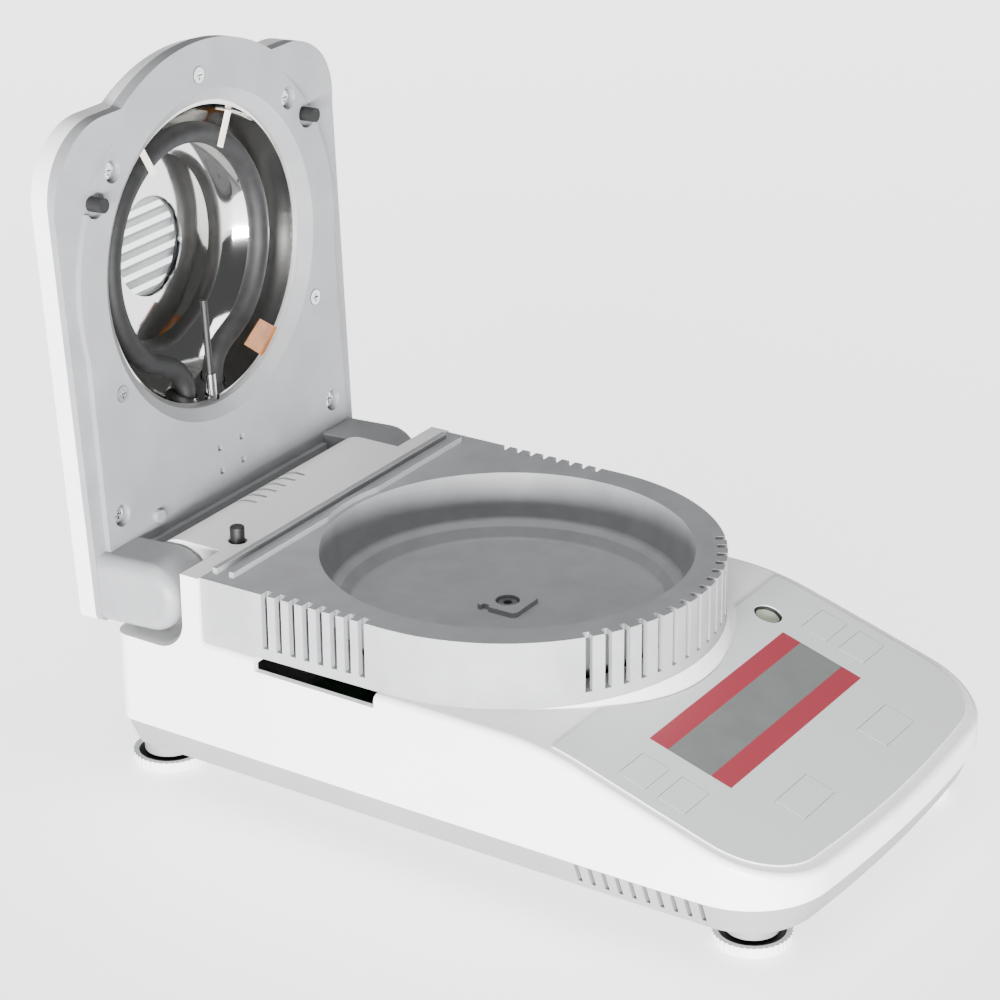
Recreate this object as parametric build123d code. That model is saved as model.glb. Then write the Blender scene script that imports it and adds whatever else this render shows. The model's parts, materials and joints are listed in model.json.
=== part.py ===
from build123d import *
import math
import os

# Moisture analyzer: a weighing base with a heated lid that swings up on two
# arms at the back. Millimetres. X runs across, -Y is the keypad end, +Z is up.
# While it is built, y = 0 is the lid's hinge axis and z = 0 is the table.
# The finished pieces are moved along Y so that the origin lies under the
# middle of the whole object with its lid open.

# Base plan
REAR_WIDTH = 159.2
FRONT_WIDTH = 169.6
BACK_Y = 16.7
WIDEST_Y = -205.0
FRONT_Y = -265.5
FRONT_BOW_R = 625.0
FRONT_BOW_HALF = 50.0
FRONT_CORNER_R = 31.0
REAR_CORNER_R = 7.0
SIDE_BEND_R = 2000.0

# Base heights
TRAY_BOTTOM = 11.5
SEAM_Z = 23.2
HOUSING_TOP = 63.6
STRIP_TOP = 88.5
RECESS_FLOOR = 57.3
COLUMN_FRONT = -24.7
COLUMN_REAR = -16.8
HOUSING_WALL = 2.4
TRAY_WALL = 2.2
TRAY_STEP = 0.7
TRAY_DRAFT = 23.0
DECK_SLOPE = 17.62
DECK_BREAK_Y = -166.7
DECK_BLEND_R = 110.0
DECK_EDGE_R = 2.4
OVERLAY_T = 0.5
OVERLAY_MARGIN = 4.9
OVERLAY_REAR_Y = -171.0
OVERLAY_PLINTH_GAP = 1.0

# Hinge
HINGE_Z = 74.0
OPEN_ANGLE = 93.0
ARM_R = 13.0
ARM_WIDTH = 22.4
ARM_GAP = 1.1
ARM_OUTER_R = 5.0
ARM_BEVEL = 0.7
COVER_R = 14.5
CHEEK = 5.0
PIN_R = 3.0
PIN_LENGTH = 22.0
PIN_PLAY = 0.05
BUSH_WALL = 1.5
BUSH_FLANGE = 0.6
BUSH_FLANGE_R = 7.0
RECESS_CORNER_R = 12.0
COVER_SLOTS = 6
COVER_SLOT_PITCH = 6.1
COVER_SLOT_W = 1.7
COVER_SLOT_Y = (-2.5, 8.0)
HUMP_FOOT = 10.0

# Drying chamber
CENTRE_Y = -103.0
CHAMBER_R = 79.3
CHAMBER_WALL = 2.4
CHAMBER_TOP_T = 2.2
BOWL_RIM_R = 68.0
BOWL_LEDGE_R = 64.6
BOWL_STEP_R = 61.2
BOWL_FLOOR_R = 58.0
BOWL_LEDGE_DROP = 17.6
BOWL_FLOOR_DROP = 23.3
BOWL_SKIN = 2.0
BOWL_STEP_DROP = 1.4
BOWL_ROUND_R = 2.2
BOWL_STEP_ROUND_R = 1.4
PAD_SIZE = 17.0
PAD_RISE = 2.0
PAD_HOLE_R = 4.5
PAD_CORNER_R = 2.0
PAD_NOTCH = 1.6
PAD_NOTCH_Y = (3.0, 6.0)
SLOT_W = 2.6
SLOT_FOOT = 4.0
SLOT_NOTCH = 1.4
SIDE_SLOTS = 8
SIDE_SLOT_PITCH = 5.87
SIDE_SLOT_Y = -73.3
FRONT_SLOTS = 15
FRONT_SLOT_STEP = 5.3
RIB_T = 2.0
RIB_RISE = 2.2
RIB_HALF = 73.5
REAR_RIB_Y = -27.2
FRONT_RIB_Y = -34.4
FRONT_RIB_GAP = 1.5
OPENING_R = 62.5
PLINTH_REACH = 2.7
PLINTH_RISE = 5.6
PLINTH_PLAY = 0.3

# Finger recesses under the chamber
GRIP_Y = (-100.5, -48.5)
GRIP_H = 4.9
GRIP_DEPTH = 12.0

# Lid, measured with the lid shut; heights count up from its lower face
LID_RISE = 18.7
LID_REAR_HALF = 80.3
LID_EAR_HALF = 83.4
LID_REAR_Y = 13.0
LID_EAR_Y = -170.2
LID_EAR_R = 28.0
LID_ARCH_R = 80.5
BORDER_RISE = 2.2
FRAME_T = 5.0
FRAME_CORNER_R = 3.0
FRAME_CORNER_MIN_R = 0.6
SHELL_SIDE = 7.2
SHELL_WALL = 2.2
SHELL_HEIGHT = 39.0
DOME_TOP_R = 45.0
DOME_BLEND_R = 26.0
DOME_INSET = 1.8
DOME_RIM_R = 5.0
DOME_TAPER = 0.4
SHOULDER_RISE = 13.0
SHOULDER_INSET = 17.0
PANEL_HALF = 74.4
PANEL_R = 76.2
RAMP_Y = (-161.0, -141.0)
RAMP_R = 9.0
LID_HOLE_R = 62.0
LID_HOLE_THROAT_R = 57.4
LID_HOLE_CHAMFER_T = 3.2
BUMPER_X = 63.3
BUMPER_Y = -140.6
BUMPER_R = 2.7
BUMPER_POCKET_R = 5.2
BUMPER_GAP = 0.1
LIP_Y = (-9.4, -5.8)
LIP_RISE = 2.2
LIP_END_PLAY = 1.0
LID_VENT_SPOTS = ((6.7, -29.6), (6.6, -20.3))
LID_VENT_W = 2.5

# Lid grille
GRILLE_R = 27.0
GRILLE_PITCH = 5.85
GRILLE_SLOT = 3.5
GRILLE_SLOTS = 9

# Reflector and heater
REFLECTOR_T = 0.8
REFLECTOR_FLANGE_R = 60.5
REFLECTOR_TOP_R = 36.0
REFLECTOR_DEPTH = 31.0
REFLECTOR_RIM_INSET = 1.0
REFLECTOR_WAIST = 4.5
REFLECTOR_WAIST_RISE = 12.0
REFLECTOR_TOP_TAPER = 0.7
HEATER_HOLE_PLAY = 0.6
SENSOR_HOLE_PLAY = 1.2
WINDOW_R = 20.0
WINDOW_PLAY = 0.1
WINDOW_T = 2.0
WINDOW_RING_R = 22.4
WINDOW_RING_T = 1.2
WINDOW_RING_LAP = 1.5
HEATER_R = 44.5
HEATER_TUBE_R = 4.0
HEATER_DEPTH = 13.0
HEATER_LEG_X = 8.6
HEATER_NECK_Y = -50.0
HEATER_END_Y = -36.0
HEATER_ENTRY_ANGLE = 46.0
CLIP_ANGLES = (61.0, 119.0)
CLIP_W = 2.6
CLIP_T = 0.8
CLIP_END_GAP = 3.0
TERMINAL_HALF = 16.0
TERMINAL_LENGTH = 9.0
TERMINAL_CAP = 2.0
SENSOR_R = 1.4
SENSOR_DEPTH = 7.1
SENSOR_TIP_Y = -85.0
SENSOR_JOINT_Y = -56.0
SENSOR_SLEEVE_WALL = 0.6
TAPE_T = 0.3
TAPE_CORNERS = ((30.0, 34.5), (42.0, 42.7), (33.0, 51.9), (19.0, 41.3))
TAPE_EDGE_GAP = 0.1

# Screws
CASE_SCREW_SPOTS = ((66.0, -66.0), (62.0, -176.0))
LID_SCREW_SPOTS = ((52.4, -149.6), (65.8, -24.2))
REFLECTOR_SCREW_R = 68.4
SCREW_HEAD_R = 2.9
SCREW_HEAD_T = 1.6
CROSS_HALF = 1.8
CROSS_SLOT_HALF = 0.4
CROSS_DEPTH = 0.9
FRAME_SCREW_DROP = 2.2
FRAME_SCREW_POCKET_R = 4.3
REFLECTOR_SCREW_DROP = 0.4
SCREW_POCKET_PLAY = 0.2
SCREW_ANGLES = (150, 270, 30)

# Keypad, places given in plan
KEY_GAP = 0.25
KEY_TRAVEL = 0.5
KEY_T = 4.4
KEY_FLANGE = 1.2
KEY_PROUD = 0.05
FLANGE_PLAY = 0.05
KEY_SIDE_X = 65.4
KEY_SIDE_SIZE = (16.6, 10.6)
KEY_ROW_Y = (-198.1, -213.3)
KEY_FRONT_X = 30.4
KEY_FRONT_Y = -240.9
KEY_FRONT_SIZE = (22.0, 11.6)
DISPLAY_W = 96.4
DISPLAY_Y = (-222.1, -190.2)
LCD_Y = (-214.2, -197.5)
LEVEL_X = 53.6
LEVEL_Y = -181.2
LEVEL_R = 5.4
LEVEL_PLAY = 0.1
LEVEL_CUP_WALL = 0.7
LEVEL_CUP_DEPTH = 7.0
LEVEL_CUP_FLOOR = 5.0
LEVEL_VIAL_TOP = 1.0
LCD_MARGIN = 2.0
LCD_GLASS_GAP = 0.2
LCD_GLASS_T = 2.0
LCD_GLASS_MARGIN = 3.0
LCD_BOARD_DEPTH = 5.2
LCD_BOARD_MARGIN = 1.0
LCD_BOARD_EXTRA = 8.0
LCD_PLUG_MARGIN = 4.0
LCD_PLUG = (-3.0, -2.0)
BOARD_T = 1.6
TACT_SIZE = 6.0
TACT_RISE = 3.0
TACT_GAP = 0.1
KEY_BOARD_W = 152.0
KEY_BOARD_REACH = (10.0, 9.0)
KEY_BOARD_GAP = 1.5

# Feet
FOOT_X = 61.3
FOOT_REAR_Y = 7.4
FOOT_FRONT_Y = -238.4
FOOT_R = 13.8
FOOT_RIM = 2.1
FOOT_RIM_H = 3.8
FOOT_RIM_Z = 0.5
FOOT_DISC_DROP = 0.5
FOOT_TEETH = 40
FOOT_STUD_R = 3.0
FOOT_STUD_TOP = 20.0
FOOT_GROOVE_R = 0.45
FOOT_SEAT = 0.4
FOOT_PAD_R = 9.0
BOSS_R = 9.4
BOSS_BOTTOM = 4.9
BOSS_PLAY = 0.1
BOSS_WALL = 2.5
BOSS_TOP_GAP = 0.5

# Tray louvres
TRAY_SLOTS = 10
TRAY_SLOT_PITCH = 5.35
TRAY_SLOT_W = 1.8
TRAY_SLOT_Z = (14.2, 22.2)
TRAY_SLOT_Y = -206.5
TRAY_SLOT_DEPTH = 8.0

# Lid switch
PLUNGER_X = -46.6
PLUNGER_Y = -17.0
PLUNGER_R = 2.7
PLUNGER_RISE = 5.8
PLUNGER_TRAVEL = 3.7
PLUNGER_PLAY = 0.1
PLUNGER_HOLE_R = 3.5
PLUNGER_FLANGE_R = 4.4
PLUNGER_FLANGE_T = 1.6
PLUNGER_SEAT_Z = 70.0
PLUNGER_SEAT_T = 1.6
SPRING_WIRE_R = 0.3
SPRING_R = 3.5
SPRING_TURNS = 7
SWITCH_PIN_R = 2.4
SWITCH_PIN_RISE = 2.0
PLUNGER_TIP_R = 0.6
PLUNGER_FOOT_DROP = 0.4
BRACKET_X = (-5.0, 8.0)
BRACKET_REACH = 5.0
BRACKET_T = 2.0
SNAP_SWITCH_REACH = 3.0
SNAP_SWITCH_DROP = (9.0, 1.0)
SNAP_BUTTON_R = 1.2
SNAP_BUTTON_T = 2.0

# Weighing cell
CELL_W = 14.0
CELL_H = 14.0
CELL_LENGTH = 82.0
CELL_TOP = 46.0
CELL_HOLE_R = 4.2
CELL_EYE_HALF = 8.0
CELL_SLOT_HALF = 1.0
MOUNT_HALF = 16.0
MOUNT_REACH = (26.0, 6.0)
MOUNT_FOOT_T = 5.0
TOWER_HALF = 9.0
TOWER_REACH = 22.0
COLLAR_T = 3.0
COLLAR_INSET = 0.5
SPINDLE_R = 3.6
SPINDLE_TOP = 66.4
SPINDLE_BORE_R = 1.6
SPINDLE_BORE_DEPTH = 8.0

# Boards on the tray
STANDOFF = 4.0
STANDOFF_R = 2.5
STANDOFF_INSET = 5.0
MAIN_BOARD = ((20.0, 72.0), (-160.0, -50.0))
PROCESSOR = ((34.0, 52.0), (-120.0, -100.0), 3.0)
MAIN_CONNECTOR = ((28.0, 36.0), (-90.0, -72.0), 9.0)
SUPPLY_BOARD = ((-74.0, -20.0), (-100.0, -10.0))
TRANSFORMER = ((-68.0, -42.0), (-80.0, -50.0), 21.0)
RELAY = ((-40.0, -26.0), (-60.0, -40.0), 13.0)

# Rear panel
INLET_X = -46.0
INLET_Z = 40.0
INLET_BODY = (27.6, 19.6)
INLET_FLANGE = (32.0, 24.0)
INLET_SOCKET = (24.0, 16.0)
INLET_PLAY = 0.2
INLET_DEPTH = 18.0
SOCKET_DEPTH = 15.0
FLANGE_SHEET = 1.6
BLADE_SPOTS = ((-7.0, 1.5), (0.0, -2.5), (7.0, 1.5))
BLADE_HALF = (1.0, 2.0)
BLADE_TIP_DROP = 3.0
PORT_X = 38.0
PORT_Z = 38.0
PORT_CUT = (20.0, 10.8)
PORT_BODY = (17.2, 8.4)
PORT_FLANGE = (30.8, 12.4)
PORT_MOUTH = (15.6, 6.8)
PORT_DEPTH = 10.0
PORT_PROUD = 2.4
PORT_SHEET = 1.2
PORT_MOUTH_DEPTH = 3.0
PIN_ROWS = ((1.4, 5), (-1.4, 4))
CONTACT_PITCH = 2.8
CONTACT_R = 0.5
CONTACT_Y = (-3.2, 1.6)
FUSE_X = -12.0
FUSE_R = 6.0
FUSE_PLAY = 0.2
FUSE_DEPTH = 20.0
FUSE_PROUD = 2.5
FUSE_CAP_R = 7.4
FUSE_CAP_T = 1.5
FUSE_SLOT = (4.0, 0.6)
FUSE_SLOT_FLOOR = 1.6
CUTOUT_DEPTH = 6.0

# Lift that keeps two faces from lying in one plane
FACE_STEP = 0.01
slope = math.radians(DECK_SLOPE)
lid_face_z = HINGE_Z + LID_RISE
bowl_floor_z = STRIP_TOP - BOWL_FLOOR_DROP
tray_floor_z = TRAY_BOTTOM + TRAY_WALL


def block(x, y, z):
    """A box from its low and high limits along each axis."""
    size = (x[1] - x[0], y[1] - y[0], z[1] - z[0])
    middle = ((x[0] + x[1]) / 2, (y[0] + y[1]) / 2, (z[0] + z[1]) / 2)
    return Pos(*middle) * Box(*size)


def post(x, y, z, radius):
    """An upright cylinder between two heights."""
    return Pos(x, y, (z[0] + z[1]) / 2) * Cylinder(radius, z[1] - z[0])


def rod_x(x, y, z, radius):
    """A cylinder along X between two places."""
    turned = Rot(0, 90, 0) * Cylinder(radius, x[1] - x[0])
    return Pos((x[0] + x[1]) / 2, y, z) * turned


def rod_y(x, y, z, radius):
    """A cylinder along Y between two places."""
    turned = Rot(90, 0, 0) * Cylinder(radius, y[1] - y[0])
    return Pos(x, (y[0] + y[1]) / 2, z) * turned


def rear_block(x, z, size, y):
    """A box in the back wall: its middle, its width and height, and its depth in Y."""
    width, height = size
    return block((x - width / 2, x + width / 2), y, (z - height / 2, z + height / 2))


def mirrored(shape):
    """The shape and its copy on the other side of the middle plane."""
    return shape + mirror(shape, Plane.YZ)


def pair(shape):
    """Two separate solids, one each side of the middle plane."""
    return Compound(children=[*shape.solids(), *mirror(shape, Plane.YZ).solids()])


def together(*shapes):
    """Several pieces of one kind as a group of separate solids."""
    return Compound(children=[solid for shape in shapes for solid in shape.solids()])


def deck_z(y, lift=0.0):
    """Height of the sloping deck, lifted along its normal."""
    return HOUSING_TOP + (y - DECK_BREAK_Y) * math.tan(slope) + lift / math.cos(slope)


def deck_plane(x, y, lift=0.0):
    """A plane lying on the deck: local x across, local y up the slope."""
    normal = (0, -math.sin(slope), math.cos(slope))
    return Plane(origin=(x, y, deck_z(y, lift)), x_dir=(1, 0, 0), z_dir=normal)


def on_deck(x, y, lift, width, length, low, high):
    """A block standing on the deck, from low to high along its normal."""
    body = Pos(0, 0, (low + high) / 2) * Box(width, length, high - low)
    return deck_plane(x, y, lift).location * body


def deck_length(y_range):
    """Length along the slope of a stretch given in plan."""
    return (y_range[1] - y_range[0]) / math.cos(slope)


# Base housings
def base_plan(inset=0.0):
    """Outline of the base seen from above, made smaller by an inset."""
    rear = REAR_WIDTH / 2 - inset
    front = FRONT_WIDTH / 2 - inset
    bow_r = FRONT_BOW_R - inset
    bow = math.asin(FRONT_BOW_HALF / FRONT_BOW_R)
    tip_y = FRONT_Y + inset - bow_r * (1 / math.cos(bow) - 1)
    corner_y = tip_y + front * math.tan(bow)
    points = [
        (rear, BACK_Y - inset),
        (front, WIDEST_Y),
        (front, corner_y),
        (0, tip_y),
        (-front, corner_y),
        (-front, WIDEST_Y),
        (-rear, BACK_Y - inset),
    ]
    corner = FRONT_CORNER_R - inset
    back = max(REAR_CORNER_R - inset, 1.0)
    radii = [back, SIDE_BEND_R, corner, bow_r, corner, SIDE_BEND_R, back]
    return make_face(FilletPolyline(*points, radius=radii, close=True))


def side_prism(points, radii, half_width):
    """A profile in the side view, pushed out both ways across X."""
    outline = FilletPolyline(*points, radius=radii, close=True)
    return extrude(Plane.YZ * make_face(outline), half_width, both=True)


def deck_prism(inset=0.0, lift=0.0, bottom=SEAM_Z):
    """Side view of the sloping deck and flat top, back to the column."""
    far_front = FRONT_Y - 20
    top = HOUSING_TOP - inset + lift
    break_y = DECK_BREAK_Y - (lift - inset) * math.tan(slope / 2)
    points = [
        (COLUMN_FRONT + inset, bottom),
        (COLUMN_FRONT + inset, top),
        (break_y, top),
        (far_front, deck_z(far_front, lift - inset)),
        (far_front, bottom),
    ]
    return side_prism(points, [0, 0, DECK_BLEND_R + lift - inset, 0, 0], FRONT_WIDTH)


def column_prism(inset=0.0, bottom=SEAM_Z):
    """Side view of the column behind the chamber and the arm recess behind it."""
    far_back = BACK_Y + 20
    points = [
        (far_back, bottom),
        (far_back, RECESS_FLOOR - inset),
        (COLUMN_REAR - inset, RECESS_FLOOR - inset),
        (COLUMN_REAR - inset, STRIP_TOP - inset),
        (COLUMN_FRONT + inset, STRIP_TOP - inset),
        (COLUMN_FRONT + inset, bottom),
    ]
    return side_prism(points, [0, 0, RECESS_CORNER_R + inset, 0, 0, 0], FRONT_WIDTH)


def hinge_cover(inset, half_width, bottom):
    """The round-backed hump between the lid arms, in line with the strip."""
    radius = COVER_R - inset
    top = STRIP_TOP - inset
    hump = rod_x((-half_width, half_width), 0, HINGE_Z, radius)
    hump += block((-half_width, half_width), (COLUMN_FRONT + inset, 0), (bottom, top))
    hump += block((-half_width, half_width), (0, radius), (bottom, HINGE_Z))
    return hump


arm_inner = LID_REAR_HALF - ARM_WIDTH
cover_half = arm_inner - ARM_GAP


def plinth():
    """Flared crescent that carries the round front of the drying chamber."""
    top_r = CHAMBER_R + PLINTH_PLAY
    foot_r = top_r + PLINTH_REACH
    low = HOUSING_TOP - PLINTH_RISE
    flare = Pos(0, CENTRE_Y, HOUSING_TOP - PLINTH_RISE / 2) * Cone(foot_r, top_r, PLINTH_RISE)
    front_half = (CENTRE_Y - foot_r - 1, CENTRE_Y)
    return flare & block((-foot_r - 1, foot_r + 1), front_half, (low, HOUSING_TOP))


def key_spots():
    """Name, place in plan and size of each membrane key."""
    spots = []
    for side, sign in (("left", -1), ("right", 1)):
        for row, y in zip(("upper", "lower"), KEY_ROW_Y):
            spots.append((f"key_{side}_{row}", sign * KEY_SIDE_X, y, KEY_SIDE_SIZE))
        spots.append((f"key_{side}_front", sign * KEY_FRONT_X, KEY_FRONT_Y, KEY_FRONT_SIZE))
    return spots


def key_windows(low, high, grow):
    """Blocks that clear every key, standing on the deck."""
    windows = Part()
    for _, x, y, (width, length) in key_spots():
        windows += on_deck(x, y, 0, width + 2 * grow, length + 2 * grow, low, high)
    return windows


lcd_mid_y = (LCD_Y[0] + LCD_Y[1]) / 2
display_mid_y = (DISPLAY_Y[0] + DISPLAY_Y[1]) / 2


def upper_housing():
    """White moulded top of the base, open underneath."""
    outer = deck_body()
    outer += extrude(base_plan(), STRIP_TOP) & column_prism()
    outer += plinth()
    outer += hinge_cover(0, cover_half, SEAM_Z + HUMP_FOOT)
    wall = HOUSING_WALL
    room = Pos(0, 0, -1) * extrude(base_plan(wall), STRIP_TOP)
    low = SEAM_Z - 1
    hollow = room & (deck_prism(inset=wall, bottom=low) + column_prism(wall, low))
    hollow += hinge_cover(wall, cover_half - CHEEK, SEAM_Z + HUMP_FOOT + 2)
    shell = outer - hollow
    shell -= post(0, CENTRE_Y, (HOUSING_TOP - 10, HOUSING_TOP + 1), OPENING_R)
    shell -= key_windows(-10, 3, KEY_GAP)
    window = (DISPLAY_W - 2 * LCD_MARGIN, deck_length(LCD_Y) - LCD_MARGIN)
    shell -= on_deck(0, lcd_mid_y, 0, *window, -10, 3)
    shell -= deck_plane(LEVEL_X, LEVEL_Y).location * Cylinder(LEVEL_R, 20)
    shell -= post(PLUNGER_X, PLUNGER_Y, (STRIP_TOP - 6, STRIP_TOP + 1), PLUNGER_HOLE_R)
    shell -= mirrored(grip_recess())
    shell -= bush_bores()
    shell -= cover_slots()
    shell -= rear_cutouts()
    return shell


def deck_body():
    """Solid under the deck with its rim rounded, one half and its mirror image."""
    left = block((-FRONT_WIDTH, 0), (FRONT_Y - 1, BACK_Y + 1), (0, STRIP_TOP))
    half = left & extrude(base_plan(), STRIP_TOP) & deck_prism()
    return mirrored(fillet(half.edges().filter_by(on_deck_rim), DECK_EDGE_R))


def on_deck_rim(edge):
    """True for an edge of the left half along the top of its side and front walls."""
    box = edge.bounding_box()
    upright = box.size.X + box.size.Y < 0.1
    in_middle = box.min.X > -1
    along_column = box.min.Y > COLUMN_FRONT - 1
    return box.min.Z > SEAM_Z + 5 and not (upright or in_middle or along_column)


def grip_recess():
    """Finger recess in the left wall, under the chamber."""
    half = FRONT_WIDTH / 2
    return block((-half - 1, -half + GRIP_DEPTH), GRIP_Y, (HOUSING_TOP - GRIP_H, HOUSING_TOP + 1))


def bush_bores():
    """Bores for the hinge bushes through the cheeks of the cover."""
    outer = PIN_R + PIN_PLAY + BUSH_WALL
    return mirrored(rod_x((cover_half - CHEEK - 1, cover_half + 1), 0, HINGE_Z, outer))


def cover_slots():
    """Short air slots over the back of the hinge cover."""
    slots = Part()
    half = COVER_SLOT_W / 2
    for i in range(COVER_SLOTS):
        x = (i - (COVER_SLOTS - 1) / 2) * COVER_SLOT_PITCH
        slots += block((x - half, x + half), COVER_SLOT_Y, (HINGE_Z + COVER_R / 3, STRIP_TOP + 1))
    return slots


def rear_cutouts():
    """Openings in the back wall for the inlet, the port and the fuse."""
    y = (BACK_Y - CUTOUT_DEPTH, BACK_Y + 1)
    inlet = [side + 2 * INLET_PLAY for side in INLET_BODY]
    cut = rear_block(INLET_X, INLET_Z, inlet, y)
    cut += rear_block(PORT_X, PORT_Z, PORT_CUT, y)
    return cut + rod_y(FUSE_X, y, INLET_Z, FUSE_R + FUSE_PLAY)


def foot_spots():
    """Name and place of each levelling foot."""
    return [
        ("front_left", -FOOT_X, FOOT_FRONT_Y),
        ("front_right", FOOT_X, FOOT_FRONT_Y),
        ("rear_left", -FOOT_X, FOOT_REAR_Y),
        ("rear_right", FOOT_X, FOOT_REAR_Y),
    ]


def base_tray():
    """Grey tray that closes the base, with foot bosses and side louvres."""
    height = SEAM_Z - TRAY_BOTTOM
    boss_top = SEAM_Z - BOSS_TOP_GAP
    outer = Pos(0, 0, SEAM_Z) * extrude(base_plan(TRAY_STEP), -height, taper=TRAY_DRAFT)
    hollow_top = Pos(0, 0, SEAM_Z) * base_plan(TRAY_STEP + TRAY_WALL)
    hollow = extrude(hollow_top, -(height - TRAY_WALL), taper=TRAY_DRAFT)
    tray = outer
    for _, x, y in foot_spots():
        tray += post(x, y, (BOSS_BOTTOM, boss_top), BOSS_R)
    tray &= extrude(base_plan(TRAY_STEP), SEAM_Z)
    tray -= hollow
    for _, x, y in foot_spots():
        tray += post(x, y, (TRAY_BOTTOM + FACE_STEP, boss_top), BOSS_R - BOSS_WALL)
        tray -= post(x, y, (BOSS_BOTTOM - 1, SEAM_Z), FOOT_STUD_R + BOSS_PLAY)
    half = FRONT_WIDTH / 2
    for i in range(TRAY_SLOTS):
        y = TRAY_SLOT_Y + (i - (TRAY_SLOTS - 1) / 2) * TRAY_SLOT_PITCH
        span = (y - TRAY_SLOT_W / 2, y + TRAY_SLOT_W / 2)
        tray -= mirrored(block((-half - 1, -half + TRAY_SLOT_DEPTH), span, TRAY_SLOT_Z))
    return tray


# Drying chamber
def chamber_plan(inset=0.0):
    """Outline of the chamber: straight sides and a half-round front."""
    half = CHAMBER_R - inset
    back = COLUMN_FRONT - inset
    depth = back - CENTRE_Y
    sides = Pos(0, CENTRE_Y + depth / 2) * Rectangle(2 * half, depth)
    front = Pos(0, CENTRE_Y - half / 2) * Rectangle(2 * half, half)
    return sides + (front & Pos(0, CENTRE_Y) * Circle(half))


def bowl_profile(skin=0.0, top=0.0):
    """Half section of the bowl, grown outwards by its skin."""
    ledge_z = STRIP_TOP - BOWL_LEDGE_DROP - skin
    floor_z = bowl_floor_z - skin
    rim_z = STRIP_TOP + top
    points = [
        (0, rim_z),
        (0, floor_z),
        (BOWL_FLOOR_R + skin, floor_z),
        (BOWL_STEP_R + skin, ledge_z - BOWL_STEP_DROP),
        (BOWL_LEDGE_R + skin, ledge_z),
        (BOWL_RIM_R + skin, rim_z),
    ]
    radii = [0, 0, BOWL_ROUND_R, BOWL_STEP_ROUND_R, BOWL_ROUND_R, 0]
    return Plane.XZ * make_face(FilletPolyline(*points, radius=radii, close=True))


def bowl_solid(skin=0.0, top=0.0):
    return Pos(0, CENTRE_Y, 0) * revolve(bowl_profile(skin, top), Axis.Z)


def chamber_slots():
    """Upright air slots through the side walls and round the front."""
    low = HOUSING_TOP + SLOT_FOOT
    high = STRIP_TOP + 1
    reach = CHAMBER_WALL + SLOT_NOTCH
    slots = Part()
    for i in range(SIDE_SLOTS):
        y = SIDE_SLOT_Y + (i - (SIDE_SLOTS - 1) / 2) * SIDE_SLOT_PITCH
        span = (y - SLOT_W / 2, y + SLOT_W / 2)
        slots += mirrored(block((CHAMBER_R - reach, CHAMBER_R + 1), span, (low, high)))
    for i in range(FRONT_SLOTS):
        angle = 270 + (i - (FRONT_SLOTS - 1) / 2) * FRONT_SLOT_STEP
        bar = block((CHAMBER_R - reach, CHAMBER_R + 1), (-SLOT_W / 2, SLOT_W / 2), (low, high))
        slots += Pos(0, CENTRE_Y, 0) * Rot(0, 0, angle) * bar
    return slots


def chamber_ribs():
    """Two low sealing ribs behind the bowl; the front one bows round the rim."""
    height = (STRIP_TOP - 0.5, STRIP_TOP + RIB_RISE)
    span = (-RIB_HALF, RIB_HALF)
    ribs = block(span, (REAR_RIB_Y - RIB_T / 2, REAR_RIB_Y + RIB_T / 2), height)
    inner = BOWL_RIM_R + FRONT_RIB_GAP
    outer = inner + RIB_T
    front = (FRONT_RIB_Y - RIB_T / 2, FRONT_RIB_Y + RIB_T / 2)
    straight = block(span, front, height) - post(0, CENTRE_Y, (0, STRIP_TOP + 9), inner)
    ring = post(0, CENTRE_Y, height, outer) - post(0, CENTRE_Y, (0, STRIP_TOP + 9), inner)
    bow = ring & block(span, (front[0], front[0] + 20), height)
    return ribs + straight + bow


def drying_chamber():
    """Grey moulded chamber: slotted skirt, flat top and stepped bowl."""
    skirt = Pos(0, 0, HOUSING_TOP) * extrude(chamber_plan(), STRIP_TOP - HOUSING_TOP)
    inner = extrude(chamber_plan(CHAMBER_WALL), STRIP_TOP - HOUSING_TOP - CHAMBER_TOP_T + 1)
    body = skirt - Pos(0, 0, HOUSING_TOP - 1) * inner
    body += bowl_solid(BOWL_SKIN)
    body -= bowl_solid(top=1)
    body -= chamber_slots()
    body += chamber_ribs()
    half = PAD_SIZE / 2
    pad = Pos(0, CENTRE_Y) * RectangleRounded(PAD_SIZE, PAD_SIZE, PAD_CORNER_R)
    body += Pos(0, 0, bowl_floor_z - 0.5) * extrude(pad, PAD_RISE + 0.5)
    notch_y = [CENTRE_Y + end for end in PAD_NOTCH_Y]
    body -= block((-half - 1, -half + PAD_NOTCH), notch_y, (bowl_floor_z, STRIP_TOP))
    body -= post(0, CENTRE_Y, (HOUSING_TOP - 9, STRIP_TOP), PAD_HOLE_R)
    return body


# Keypad and display
def deck_skin(plan, low, high):
    """A skin that follows the deck between two heights above it."""
    upper = deck_prism(lift=high)
    lower = deck_prism(lift=low)
    return extrude(plan, STRIP_TOP) & (upper - lower)


def control_overlay():
    """Printed membrane on the deck, with windows for keys, display and level."""
    skin = deck_skin(base_plan(OVERLAY_MARGIN), 0, OVERLAY_T)
    half = FRONT_WIDTH / 2
    skin &= block((-half, half), (FRONT_Y - 5, OVERLAY_REAR_Y), (SEAM_Z, STRIP_TOP))
    foot_r = CHAMBER_R + PLINTH_REACH + OVERLAY_PLINTH_GAP
    skin -= post(0, CENTRE_Y, (SEAM_Z, STRIP_TOP), foot_r)
    skin -= key_windows(-1, 3, KEY_GAP)
    skin -= on_deck(0, display_mid_y, 0, DISPLAY_W, deck_length(DISPLAY_Y), -1, 3)
    skin -= deck_plane(LEVEL_X, LEVEL_Y).location * Cylinder(LEVEL_R, 20)
    return skin


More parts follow.
